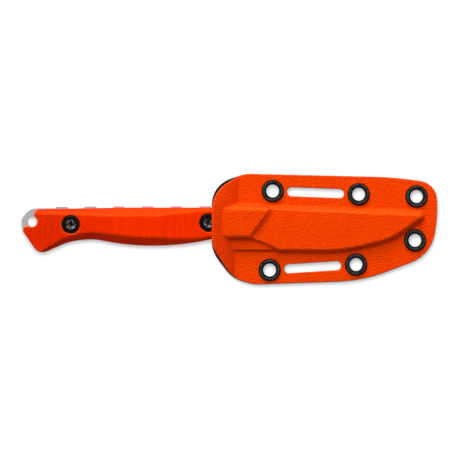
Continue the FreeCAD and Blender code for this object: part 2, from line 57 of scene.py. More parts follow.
def rounded_copy(node, name, width, angle):
    """Copy of a CAD node's mesh with its triangles joined into whole faces.

    Every edge between faces that turn by more than the angle (degrees) is cut back by the width (mm)
    on both sides and rounded, and the rest is shaded as one smooth skin.
    """
    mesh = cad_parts[node].data.copy()
    mesh.name = name
    mesh.materials.clear()
    work = bmesh.new()
    work.from_mesh(mesh)
    bmesh.ops.remove_doubles(work, verts=work.verts, dist=FACET_WELD * MM)
    bmesh.ops.dissolve_limit(work, angle_limit=math.radians(FACET_TURN), verts=work.verts, edges=work.edges)
    work.to_mesh(mesh)
    work.free()
    mesh.shade_smooth()
    mesh.set_sharp_from_angle(angle=math.radians(angle))
    piece = bpy.data.objects.new(name, mesh)
    bpy.context.scene.collection.objects.link(piece)
    rounding = piece.modifiers.new("rounded_edges", "BEVEL")
    rounding.width = width * MM
    rounding.segments = 3
    rounding.limit_method = "ANGLE"
    rounding.angle_limit = math.radians(angle)
    rounding.harden_normals = True
    return piece


def new_group(name, inputs, outputs):
    """Empty shader node group with float or vector sockets given as (name, kind, value)."""
    group = bpy.data.node_groups.new(name, "ShaderNodeTree")
    for way, sockets in (("INPUT", inputs), ("OUTPUT", outputs)):
        for label, kind, value in sockets:
            socket = group.interface.new_socket(label, in_out=way, socket_type="NodeSocket" + kind)
            if value is not None:
                socket.default_value = value
    return group, group.nodes.new("NodeGroupInput"), group.nodes.new("NodeGroupOutput")


def add(tree, kind, settings=None, **inputs):
    """New shader node; settings are its properties, inputs are values or output sockets.

    An input is named in lower case with _ for spaces, or is a number as in in_0.
    """
    node = tree.nodes.new("ShaderNode" + kind)
    for label, value in (settings or {}).items():
        setattr(node, label, value)
    for label, value in inputs.items():
        if label.startswith("in_"):
            socket = node.inputs[int(label[3:])]
        else:
            socket = [s for s in node.inputs if s.name.lower().replace(" ", "_") == label][0]
        if isinstance(value, bpy.types.NodeSocket):
            tree.links.new(value, socket)
        else:
            socket.default_value = value
    return node


def in_mm(tree, place):
    """The place, which is in metres, times 1000."""
    return add(tree, "VectorMath", {"operation": "SCALE"}, in_0=place, scale=1 / MM).outputs[0]


def weighted(tree, value, weight, rest):
    """value * weight + rest."""
    return add(tree, "Math", {"operation": "MULTIPLY_ADD"}, in_0=value, in_1=weight, in_2=rest).outputs[0]


def map_range(tree, value, given, wanted=(0.0, 1.0), eased=False):
    """Value carried from the given range to the wanted one and held there; eased, its ends are level."""
    settings = {"interpolation_type": "SMOOTHSTEP" if eased else "LINEAR"}
    return add(tree, "MapRange", settings, value=value, from_min=given[0], from_max=given[1],
               to_min=wanted[0], to_max=wanted[1]).outputs[0]


def ramp(tree, value, *stops):
    """Colour ramp through (place, colour) stops, read at the value."""
    node = add(tree, "ValToRGB", in_0=value)
    marks = node.color_ramp.elements
    for mark, (place, colour) in zip(marks, stops, strict=True):
        mark.position = place
        mark.color = (*colour, 1)
    return node.outputs["Color"]


def mixed(tree, share, under, over):
    """Under colour with the share of the over colour on it; each is (red, green, blue) or a socket."""
    under, over = [(*colour, 1) if isinstance(colour, tuple) else colour for colour in (under, over)]
    return add(tree, "Mix", {"data_type": "RGBA"}, in_0=share, in_6=under, in_7=over).outputs[2]


def make_grain_group():
    """Fine surface grain of two noise sizes.

    Height = fine + coarse * share, Speckle = the fine noise sharpened into dots, Cloud = the coarse noise.
    """
    group, given, out = new_group(
        "surface_grain",
        [("Place", "Vector", None), ("Fine per mm", "Float", 2.0), ("Coarse per mm", "Float", 0.4),
         ("Coarse share", "Float", 0.3)],
        [("Height", "Float", None), ("Speckle", "Float", None), ("Cloud", "Float", None)],
    )
    place = in_mm(group, given.outputs["Place"])
    fine = add(group, "TexNoise", vector=place, scale=given.outputs["Fine per mm"],
               detail=2.0, roughness=0.6).outputs[0]
    coarse = add(group, "TexNoise", vector=place, scale=given.outputs["Coarse per mm"],
                 detail=3.0, roughness=0.55).outputs[0]
    height = weighted(group, coarse, given.outputs["Coarse share"], fine)
    dots = map_range(group, fine, (0.5, 0.72), eased=True)
    group.links.new(height, out.inputs["Height"])
    group.links.new(dots, out.inputs["Speckle"])
    group.links.new(coarse, out.inputs["Cloud"])
    return group


GRAIN = make_grain_group()


def new_material(name):
    """Material with its shader, and the place on the object in metres that its patterns read."""
    material = bpy.data.materials.new(name)
    material.use_nodes = True
    tree = material.node_tree
    return material, tree, tree.nodes["Principled BSDF"], add(tree, "TexCoord").outputs["Object"]


def dress(tree, shader, colour, roughness, height, strength, depth):
    """Feeds colour and roughness to the shader, and a relief whose height of 1 is depth (mm) deep."""
    bump = add(tree, "Bump", strength=strength, distance=depth * MM, height=height)
    tree.links.new(colour, shader.inputs["Base Color"])
    tree.links.new(roughness, shader.inputs["Roughness"])
    tree.links.new(bump.outputs[0], shader.inputs["Normal"])


def blade_steel():
    """Grey metal, dulled by tumbling: cloudy roughness, sparse dark pits and fine lengthwise scratches."""
    material, tree, shader, place = new_material("tumbled_steel")
    grain = add(tree, "Group", {"node_tree": GRAIN}, place=place, fine_per_mm=2.6, coarse_per_mm=0.5,
                coarse_share=0.6)
    cloud = grain.outputs["Cloud"]
    stretched = add(tree, "Mapping", in_0=place, scale=(300.0, 3800.0, 3800.0))
    brushed = add(tree, "TexNoise", vector=stretched.outputs[0], scale=1.0, detail=2.0).outputs[0]
    scratch = map_range(tree, brushed, (0.6, 0.8), (0.0, 0.6), eased=True)
    pits = add(tree, "TexVoronoi", {"feature": "F1"}, vector=place, scale=900.0)
    past_pit = map_range(tree, pits.outputs["Distance"], (0.05, 0.16))
    grey = ramp(tree, cloud, (0.25, (0.225, 0.222, 0.222)), (0.75, (0.31, 0.307, 0.307)))
    pitted = mixed(tree, past_pit, (0.1, 0.09, 0.09), grey)
    scratched = mixed(tree, scratch, pitted, (0.36, 0.36, 0.36))
    dull = map_range(tree, cloud, (0.3, 0.7), (0.55, 0.67))
    skin = weighted(tree, brushed, 0.8, grain.outputs["Height"])
    shader.inputs["Metallic"].default_value = 0.85
    dress(tree, shader, scratched, dull, skin, strength=0.35, depth=0.03)
    return material


steel = rounded_copy("blade_and_tang", "steel_plate", STEEL_ROUNDING, STEEL_SHARP_TURN)
steel.data.materials.append(blade_steel())
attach(steel, "knife")
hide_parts("blade_and_tang")


# ---- Handle scales ---------------------------------------------------------------------------------
# Two slabs of orange glass laminate, screwed to the tang from both sides. Each is milled to a swelling
# face with a long 45 degree bevel above and below, then blasted, which leaves a fine dry speckle with
# the edges barely broken.
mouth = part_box("sheath_front_shell")[0].x
guard_low, guard_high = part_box("screw_front_guard")
steel_low, steel_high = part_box("blade_and_tang")
# Places in the drawing are mm from the sheath's mouth, the guard screw's axis and the steel's middle.
ZERO = np.array([mouth, (guard_low.y + guard_high.y) / 2, (steel_low.z + steel_high.z) / 2])

# Outlines are corners (x, y, radius), and the face seen from the side is corners (x, z, radius).
SCALE_FRONT = [(16.4, -6.5, 1.0), (27.0, 6.2, 1.0), (9.0, 7.0, 120.0)]
UNDERSIDE = [(-79.3, -14.6, 4.5), (-65.4, -8.4, 27.0), (-54.5, -7.4, 24.0), (-39.0, -10.3, 115.0),
             (-15.6, -10.7, 120.0), (4.4, -6.5, 17.8)]
SCALE_EDGE = SCALE_FRONT + [(-40.0, 7.0, 300.0), (-81.4, 6.2, 2.2), (-81.4, -1.7, 0.4),
                            (-86.0, -1.7, 1.1), (-86.8, -3.7, 0.9)] + UNDERSIDE
BEVEL_LINE = SCALE_FRONT + [(-40.0, 7.0, 300.0), (-99.8, 6.05, 1.0), (-99.8, -26.4, 1.0)] + UNDERSIDE[1:]
FACE_SIDE_VIEW = [(-87.8, 0.0, 0.1), (32.0, 0.0, 0.1), (32.0, 4.05, 0.1), (-5.0, 4.05, 35.0),
                  (-25.5, 6.35, 50.0), (-43.5, 6.35, 60.0), (-87.8, 4.25, 0.1)]
FACE_LEAST = 2.0
BEVEL_START = 2.65
BEVEL_BEND = 0.7
INNER_FACE = 1.15
SCREWS = {"guard": (-1.75, 0.0), "butt": (-64.7, -0.8)}
SCREW_SEAT = 4.22
LANYARD_HOLE = (-82.6, 0.6)
LANYARD_RELIEF = 2.6
SCALE_AREA = (-88.5, -15.5, 27.5, 7.6)
# Arcs leave a little of each side straight. A sheet's grid has cells of CELL, and its cut edges are
# rounded over CUT_ROUNDING.
ARC_POINTS = 13
ARC_ROOM = 0.999
CELL = 0.35
CUT_ROUNDING = 0.4
RIM_POINTS = 5
BORDER_INSET = 0.7
BORDER_ROUNDS = 3
BORDER_SLOPES = (-0.5, 2.0)
SLOPE_STEP = 0.03
WELD = 0.002


def rounded_line(corners):
    """Closed line of straight sides and tangent arcs through corners (x, y, radius).

    At a corner that turns by s, the arc starts radius * tan(s / 2) before it, and its points are
    start + radius * (sin(t) * way in + (1 - cos(t)) * way to the centre), for t from 0 to s. Where two
    arcs don't fit on a side, both get smaller.
    """
    points = np.array([corner[:2] for corner in corners], float)
    radii = np.array([corner[2] for corner in corners], float)
    ways = np.roll(points, -1, axis=0) - points
    lengths = np.hypot(ways[:, 0], ways[:, 1])
    ways = ways / lengths[:, None]
    before = np.roll(ways, 1, axis=0)
    turn = np.arctan2(before[:, 0] * ways[:, 1] - before[:, 1] * ways[:, 0], (before * ways).sum(1))
    reach = radii * np.abs(np.tan(turn / 2))
    room_before = np.roll(lengths, 1) / (np.roll(reach, 1) + reach)
    room_after = lengths / (reach + np.roll(reach, -1))
    share = np.minimum(1, ARC_ROOM * np.minimum(room_before, room_after))
    start = points - before * (reach * share)[:, None]
    inwards = np.sign(turn)[:, None] * np.stack([-before[:, 1], before[:, 0]], 1)
    swept = (np.linspace(0, 1, ARC_POINTS) * np.abs(turn)[:, None])[..., None]
    arcs = np.sin(swept) * before[:, None] + (1 - np.cos(swept)) * inwards[:, None]
    return (start[:, None] + (radii * share)[:, None, None] * arcs).reshape(-1, 2)


def distance(x, y, line):
    """Signed distance of places to a closed line, less than 0 inside it.

    The nearest place on a side from a to b is a + t * (b - a), with t = (p - a).(b - a) / |b - a|^2 held
    between 0 and 1. A place is inside where a ray towards +X crosses the line an odd number of times.
    """
    least = np.full(x.shape, np.inf)
    inside = np.zeros(x.shape, bool)
    for (ax, ay), (bx, by) in zip(line, np.roll(line, -1, axis=0)):
        sx, sy = bx - ax, by - ay
        t = np.clip(((x - ax) * sx + (y - ay) * sy) / (sx * sx + sy * sy + 1e-12), 0, 1)
        least = np.minimum(least, np.hypot(x - ax - t * sx, y - ay - t * sy))
        if sy:
            inside ^= ((ay > y) != (by > y)) & (x < ax + (y - ay) * sx / sy)
    return np.where(inside, -least, least)


def soft_min(a, b, width):
    """Lower of two heights, eased over |a - b| < width by taking off (1 - |a - b| / width)^2 * width / 4."""
    ease = np.maximum(width - np.abs(a - b), 0) / width
    return np.minimum(a, b) - ease * ease * width / 4


def soft_max(a, b, width):
    """Higher of two heights, eased in the same way."""
    return -soft_min(-a, -b, width)


def make_piece(name, places, quads):
    """Smooth-shaded object at the origin from places in drawing mm and quads of their numbers."""
    mesh = bpy.data.meshes.new(name)
    mesh.from_pydata((places * MM + ZERO).tolist(), [], quads.tolist())
    work = bmesh.new()
    work.from_mesh(mesh)
    bmesh.ops.remove_doubles(work, verts=work.verts, dist=WELD * MM)
    work.to_mesh(mesh)
    work.free()
    mesh.shade_smooth()
    piece = bpy.data.objects.new(name, mesh)
    bpy.context.scene.collection.objects.link(piece)
    return piece


def slopes(function, x, y):
    """Slopes of function(x, y) in X and Y, each from the places a SLOPE_STEP to either side."""
    in_x = (function(x + SLOPE_STEP, y) - function(x - SLOPE_STEP, y)) / (2 * SLOPE_STEP)
    in_y = (function(x, y + SLOPE_STEP) - function(x, y - SLOPE_STEP)) / (2 * SLOPE_STEP)
    return in_x, in_y


def trimmed_sheet(name, area, edge, top, bottom, mirrored):
    """Closed sheet of material on a square grid, with a rounded rim round its edge and its holes.

    edge(x, y) is the signed distance to the edge and the holes, less than 0 in the material, and
    top(x, y) and bottom(x, y) are its faces. Cells whose middle is outside, or inside by less than the
    share BORDER_INSET of the rounding, are left out. The border points p then move, in BORDER_ROUNDS, to
    p - gradient * (edge(p) + inset), and the rim is carried along the border: from the top's own slope a
    it turns as (sin t - sin a, cos t - cos a) * CUT_ROUNDING to upright, runs straight down, and turns in
    again to the bottom face. A mirrored sheet is the same behind the middle plane.
    """
    x0, y0, x1, y1 = area
    x, y = np.meshgrid(np.arange(x0, x1 + CELL, CELL), np.arange(y0, y1 + CELL, CELL))
    kept = edge(x[:-1, :-1] + CELL / 2, y[:-1, :-1] + CELL / 2) < -BORDER_INSET * CUT_ROUNDING
    numbers = np.arange(x.size).reshape(x.shape)
    quads = np.stack([numbers[:-1, :-1], numbers[:-1, 1:], numbers[1:, 1:], numbers[1:, :-1]], -1)[kept]
    used, quads = np.unique(quads, return_inverse=True)
    quads = quads.reshape(-1, 4)
    x, y = x.ravel()[used], y.ravel()[used]
    sides = np.stack([quads, np.roll(quads, -1, axis=1)], -1).reshape(-1, 2)
    first, count = np.unique(np.sort(sides, 1), axis=0, return_index=True, return_counts=True)[1:]
    border = sides[first[count == 1]]
    rim = np.unique(border)
    for _ in range(BORDER_ROUNDS):
        out_x, out_y = slopes(edge, x[rim], y[rim])
        size = np.hypot(out_x, out_y) + 1e-9
        out_x, out_y = out_x / size, out_y / size
        top_x, top_y = slopes(top, x[rim], y[rim])
        tilt = np.arctan(np.clip(-(top_x * out_x + top_y * out_y), *BORDER_SLOPES))
        inset = CUT_ROUNDING * (1 - np.sin(tilt))
        short = edge(x[rim], y[rim]) + inset
        x[rim] -= out_x * short
        y[rim] -= out_y * short
    high, low = top(x, y), bottom(x, y)
    t = tilt + np.linspace(0, 1, RIM_POINTS)[1:, None] * (math.pi / 2 - tilt)
    over = CUT_ROUNDING * (np.sin(t) - np.sin(tilt))
    drop = CUT_ROUNDING * (np.cos(tilt) - np.cos(t))
    u = np.linspace(0, 1, RIM_POINTS)[:-1, None] * (math.pi / 2)
    under = inset * np.cos(u)
    lift = CUT_ROUNDING * (1 - np.sin(u))
    rings = np.concatenate([
        np.stack([x[rim] + over * out_x, y[rim] + over * out_y, high[rim] - drop], -1),
        np.stack([x[rim] + under * out_x, y[rim] + under * out_y, low[rim] + lift], -1),
    ])
    places = np.concatenate([np.stack([x, y, high], -1), np.stack([x, y, low], -1), rings.reshape(-1, 3)])
    order = np.searchsorted(rim, border)
    ring_numbers = 2 * len(x) + np.arange(len(rings))[:, None] * len(rim) + np.arange(len(rim))
    chain = np.concatenate([rim[None], ring_numbers, rim[None] + len(x)])
    a, b = chain[:, order[:, 0]], chain[:, order[:, 1]]
    rim_quads = np.stack([a[:-1], a[1:], b[1:], b[:-1]], -1).reshape(-1, 4)
    quads = np.concatenate([quads, quads[:, ::-1] + len(x), rim_quads])
    if mirrored:
        places = places * (1, 1, -1)
        quads = quads[:, ::-1]
    return make_piece(name, places, quads)


face_line = rounded_line(FACE_SIDE_VIEW)
face_line = face_line[face_line[:, 1] > FACE_LEAST]
face_line = face_line[np.argsort(face_line[:, 0])]
scale_line = rounded_line(SCALE_EDGE)
bevel_line = rounded_line(BEVEL_LINE)


def scale_edge(x, y):
    """Outline of a scale, less the two screw seats and the relief round the lanyard hole."""
    reach = distance(x, y, scale_line)
    for sx, sy in SCREWS.values():
        reach = np.maximum(reach, SCREW_SEAT - np.hypot(x - sx, y - sy))
    return np.maximum(reach, LANYARD_RELIEF - np.hypot(x - LANYARD_HOLE[0], y - LANYARD_HOLE[1]))


def scale_face(x, y):
    """Swelling face, cut down by the 45 degree bevel, which rises from BEVEL_START at the bevel line."""
    swell = np.interp(x, face_line[:, 0], face_line[:, 1])
    return soft_min(swell, BEVEL_START - distance(x, y, bevel_line), BEVEL_BEND)


def scale_inner_face(x, y):
    """Flat face on the tang, half the steel's thickness from its middle."""
    return np.full(x.shape, INNER_FACE)


def multiplied(tree, a, b):
    """a * b."""
    return add(tree, "Math", {"operation": "MULTIPLY"}, in_0=a, in_1=b).outputs[0]


def make_crest_highlight_group():
    """Painted highlight and wear on crests: Geometry's pointiness above flat, broken up by a noise in the
    same place.
    """
    group, given, out = new_group(
        "edge_wear",
        [("Place", "Vector", None), ("Start", "Float", 0.52), ("Full", "Float", 0.6),
         ("Patch per mm", "Float", 0.5)],
        [("Mask", "Float", None)],
    )
    bend = add(group, "NewGeometry").outputs["Pointiness"]
    edge = map_range(group, bend, (given.outputs["Start"], given.outputs["Full"]), eased=True)
    patch = add(group, "TexNoise", vector=in_mm(group, given.outputs["Place"]),
                scale=given.outputs["Patch per mm"], detail=3.0)
    broken = map_range(group, patch.outputs[0], (0.42, 0.66), eased=True)
    group.links.new(multiplied(group, edge, broken), out.inputs["Mask"])
    return group


CREST_HIGHLIGHT = make_crest_highlight_group()
ORANGE_SHEEN = (1.0, 0.9, 0.0, 1)


def grip_laminate():
    """Orange-red laminate: dry blasted speckle, faint cloth bands across, painted shade towards the butt."""
    material, tree, shader, place = new_material("grip_laminate")
    grain = add(tree, "Group", {"node_tree": GRAIN}, place=place, fine_per_mm=1.7, coarse_per_mm=0.12,
                coarse_share=0.5)
    crest_highlight_mask = add(tree, "Group", {"node_tree": CREST_HIGHLIGHT}, place=place, start=0.504, full=0.525, patch_per_mm=1.2)
    cloud = grain.outputs["Cloud"]
    fresh = ramp(tree, cloud, (0.3, (0.61, 0.017, 0.0)), (0.7, (0.65, 0.0198, 0.0)))
    along = add(tree, "SeparateXYZ", in_0=place).outputs[0]
    # Painted shade: the colour darkens along X towards the butt.
    butt_shade_share = map_range(tree, along, (-35 * MM, -90 * MM), (0.0, 0.95), eased=True)
    butt_shaded = mixed(tree, butt_shade_share, fresh, (0.4, 0.0099, 0.0))
    across = add(tree, "Mapping", in_0=place, scale=(900.0, 60.0, 60.0))
    bands = add(tree, "TexNoise", vector=across.outputs[0], scale=1.0, detail=1.0)
    band = map_range(tree, bands.outputs[0], (0.35, 0.65), (0.0, 0.7))
    speckled = mixed(tree, grain.outputs["Speckle"], butt_shaded, (0.66, 0.023, 0.0))
    banded = mixed(tree, band, speckled, (0.53, 0.0131, 0.0))
    # Painted highlight with rubbed wear: the crests turn a lighter, yellower orange.
    crest_highlighted = mixed(tree, crest_highlight_mask.outputs["Mask"], banded, (0.67, 0.05, 0.002))
    dry = map_range(tree, cloud, (0.3, 0.7), (0.36, 0.46))
    shader.inputs["Specular IOR Level"].default_value = 0.045
    shader.inputs["Specular Tint"].default_value = ORANGE_SHEEN
    dress(tree, shader, crest_highlighted, dry, grain.outputs["Height"], strength=0.6, depth=0.07)
    return material


GRIP_MATERIAL = grip_laminate()
for side in ("front", "rear"):
    scale = trimmed_sheet("grip_" + side, SCALE_AREA, scale_edge, scale_face, scale_inner_face,
                          mirrored=side == "rear")
    scale.data.materials.append(GRIP_MATERIAL)
    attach(scale, "knife")
    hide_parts("scale_" + side)


# ---- Screws and barrels ----------------------------------------------------------------------------
# Broad flat-headed steel screws, blackened, with a six-lobe socket in a shallow dish. Two of them, one
# from each side, draw up on a threaded barrel that passes through the tang, and the heads sit flush in
# the scales.
HEAD_RADIUS = 4.1
HEAD_THICKNESS = 1.5
SHANK_RADIUS = 1.4
SOCKET_LOBES = 6
# From the middle of the socket outwards: radius, wave of the lobes, depth below the head's face.
HEAD_PROFILE = [
    (0, 0, 1.0), (0.86, 0.1, 1.0), (1.04, 0.14, 0.94), (1.06, 0.15, 0.4), (1.12, 0.14, 0.28),
    (1.3, 0.06, 0.2), (1.92, 0, 0.04), (2.1, 0, 0), (2.25, 0, 0), (3.4, 0, 0), (3.55, 0, 0),
    (3.78, 0, 0.04), (3.95, 0, 0.14), (4.06, 0, 0.3), (HEAD_RADIUS, 0, 0.45),
]
DISH_EDGE = 2.35
DISH_FLOOR = 2.0
TURN_POINTS = 96
TURNED_SHARP_TURN = 40.0


def turned(name, profile, centre, lobes=0, mirrored=False):
    """Closed solid turned about an upright axis through the centre.

    The profile is rings of (radius, wave, height), and a ring's place at the turn s is
    (radius + wave * cos(lobes * s)) * (cos s, sin s). The first and last rings close to a point, or
    are the same ring.
    """
    rings = np.array(profile, float)
    s = np.linspace(0, 2 * math.pi, TURN_POINTS, endpoint=False)
    radius = rings[:, 0, None] + rings[:, 1, None] * np.cos(lobes * s)
    places = np.stack([centre[0] + radius * np.cos(s), centre[1] + radius * np.sin(s),
                       np.broadcast_to(rings[:, 2, None], radius.shape)], -1).reshape(-1, 3)
    numbers = np.arange(len(places)).reshape(radius.shape)
    after = np.roll(numbers, -1, axis=1)
    quads = np.stack([numbers[:-1], after[:-1], after[1:], numbers[1:]], -1).reshape(-1, 4)
    if mirrored:
        places = places * (1, 1, -1)
        quads = quads[:, ::-1]
    piece = make_piece(name, places, quads[:, ::-1])
    piece.data.set_sharp_from_angle(angle=math.radians(TURNED_SHARP_TURN))
    return piece


def blackened_steel(name, centre):
    """Near-black oxide with a low sheen; bright specks in the dish the key turns in: scrapes and painted
    reflection.

    The dish is where the distance to the screw's axis is less than DISH_FLOOR, fading to DISH_EDGE.
    """
    material, tree, shader, place = new_material(name)
    grain = add(tree, "Group", {"node_tree": GRAIN}, place=place, fine_per_mm=2.2, coarse_per_mm=0.7,
                coarse_share=0.8)
    cloud = grain.outputs["Cloud"]
    black = ramp(tree, cloud, (0.3, (0.002, 0.0017, 0.0017)), (0.75, (0.005, 0.0045, 0.0045)))
    axis = (-centre[0] * MM - ZERO[0], -centre[1] * MM - ZERO[1], 0.0)
    centred = add(tree, "Mapping", in_0=place, scale=(1.0, 1.0, 0.0), location=axis)
    reach = add(tree, "VectorMath", {"operation": "LENGTH"}, in_0=centred.outputs[0])
    dish = map_range(tree, reach.outputs["Value"], (DISH_EDGE * MM, DISH_FLOOR * MM), eased=True)
    # Painted reflection with scrapes: bright specks in the dish round the axis.
    scrape_and_glint_specks = map_range(tree, grain.outputs["Height"], (0.88, 1.08), eased=True)
    dish_scrapes_and_glint = mixed(tree, multiplied(tree, dish, scrape_and_glint_specks), black, (0.25, 0.225, 0.22))
    satin = map_range(tree, cloud, (0.3, 0.7), (0.26, 0.42))
    shader.inputs["Specular IOR Level"].default_value = 0.03
    dress(tree, shader, dish_scrapes_and_glint, satin, grain.outputs["Height"], strength=0.4, depth=0.03)
    return material


for place_name, centre in SCREWS.items():
    finish = blackened_steel("blackened_steel_" + place_name, centre)
    for side in ("front", "rear"):
        node = "screw_" + side + "_" + place_name
        near, far = sorted(abs(corner.z - ZERO[2]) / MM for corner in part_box(node))
        seat = far - HEAD_THICKNESS
        head = [(radius, wave, far - depth) for radius, wave, depth in HEAD_PROFILE]
        shank = [(HEAD_RADIUS, 0, seat), (SHANK_RADIUS, 0, seat), (SHANK_RADIUS, 0, near), (0, 0, near)]
        screw = turned("screw_%s_%s" % (place_name, side), head + shank, centre, SOCKET_LOBES,
                       mirrored=side == "rear")
        screw.data.materials.append(finish)
        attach(screw, "knife")
        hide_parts(node)
    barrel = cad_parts["barrel_" + place_name]
    barrel.data.materials.clear()
    barrel.data.materials.append(finish)


# ---- Sheath shells ---------------------------------------------------------------------------------
# Two sheets of 2 mm thermoplastic, orange in front and black behind, pressed hot round the knife and
# riveted flange to flange. The guard of the grip and the blade stand out as soft raised forms, the
# mouth is turned out as a lip, and the cut edges are eased by hand.
SHEET = 2.0
EDGE_LINE = [(30.5, -11.9, 1.0), (60.0, -12.1, 64.0), (81.6, -6.7, 32.0), (95.6, 3.2, 0.4)]
HANDLE_POCKET = rounded_line(SCALE_FRONT + [(-15.6, 7.0, 0.5), (-15.6, -10.7, 0.5), (4.4, -6.5, 17.8)])
HANDLE_FORM = rounded_line([(40.0, -5.6, 0.5), (40.0, 4.7, 0.5), (9.0, 6.1, 120.0), (-15.6, 6.1, 0.5),
                            (-15.6, -9.8, 0.5), (4.4, -5.6, 17.8)])
BLADE_POCKET = rounded_line([(9.0, -3.1, 1.0), (17.3, -6.5, 2.0), (23.6, -8.7, 12.0)] + EDGE_LINE
                            + [(9.0, 7.0, 1.0)])
HEEL_CHANNEL = rounded_line([(-10.3, -12.2, 0.5), (36.5, -12.2, 1.0), (36.5, 0.0, 1.0), (-10.3, 0.0, 0.5)])
# Each pocket inside: its line, its height and the width of its 45 degree shoulder. Past the clearance
# and the shoulder its wall falls steeply, to the flange at WALL_END outside the line.
HANDLE_POCKET_HEIGHT = 4.35
POCKETS = [(HANDLE_POCKET, HANDLE_POCKET_HEIGHT, 1.7), (BLADE_POCKET, 2.2, 1.0), (HEEL_CHANNEL, 1.45, 0.3)]
CLEARANCE = 0.3
WALL_END = 0.6
WALL_SLOPE = 6
# Each raised form outside: its line, its height, the distances outside the line where its side starts
# and ends, how round the side is, and how softly it bends at its crest and its foot.
FORMS = [
    (HANDLE_FORM, 6.15, -0.7, 2.6, 2.3, 1.2, 0.4),
    (BLADE_POCKET, 4.75, -0.1, 1.95, 1.15, 1.1, 0.8),
    (HEEL_CHANNEL, 3.3, -0.1, 1.05, 1.0, 0.25, 0.3),
]
# From TIP_SPREAD_START towards the tip the sides widen by the share TIP_SPREAD.
TIP_SPREAD = 0.3
TIP_SPREAD_START = 65
TIP_SPREAD_LENGTH = 28
# The step down from the handle's form: a place on its line, the line's way, how far before the line it
# starts, its fall per mm, and its softness at the start. At STEP_UPRIGHT the line turns upright.
STEP_PLACE = (16.5, -6.5)
STEP_WAY = (9.6, 12.7)
STEP_START = 0.6
STEP_FALL = 0.7
STEP_BEND = 0.3
STEP_UPRIGHT = 25.2
STEP_CORNER_BEND = 1.0
EYELETS = {
    "upper_mouth": (27.6, 14.6), "upper_middle": (67.0, 13.1), "upper_tip": (93.5, 12.1),
    "lower_tip": (92.8, -8.0), "lower_middle": (65.8, -19.1), "lower_mouth": (26.2, -21.6),
}
EYELET_HOLE = 3.35
SLOT_HALF_WIDTH = 2.05
SLOT_HALF_LENGTH = 13.1
SLOT_ROWS = [("upper_mouth", "upper_middle"), ("lower_mouth", "lower_middle")]
LIP_LENGTH = 10.3
LIP_HALF_TURN = math.radians(9)
LIP_BEND = 0.3
# Towards the spine the lip gets longer by the share LIP_LEAN, and lower by the share LIP_FALL.
LIP_LEAN = 0.17
LIP_LEAN_START = -4
LIP_LEAN_LENGTH = 15
LIP_FALL = 0.16
LIP_FALL_START = -2
LIP_FALL_LENGTH = 20
SHEATH_AREA = (-0.6, -28.7, 103.6, 22.9)


def sheath_line(lower_mouth, upper_mouth):
    """Edge of the flat sheet, whose lower and upper corners at the mouth differ between the shells."""
    return rounded_line(lower_mouth + [
        (19.2, -28.4, 16.7), (68.9, -26.7, 71.0), (100.3, -14.8, 17.4), (103.5, 3.1, 61.0),
        (102.6, 18.3, 8.9), (82.6, 21.0, 150.0)] + upper_mouth)


def slot_distance(x, y, row):
    """Distance inside a round-ended slot, halfway between two eyelets and in line with them.

    In the slot's own directions it is half width - |p - nearest place on its middle line|.
    """
    (ax, ay), (bx, by) = EYELETS[row[0]], EYELETS[row[1]]
    length = math.hypot(bx - ax, by - ay)
    way_x, way_y = (bx - ax) / length, (by - ay) / length
    px, py = x - (ax + bx) / 2, y - (ay + by) / 2
    along = px * way_x + py * way_y
    reach = SLOT_HALF_LENGTH - SLOT_HALF_WIDTH
    return SLOT_HALF_WIDTH - np.hypot(along - np.clip(along, -reach, reach), py * way_x - px * way_y)


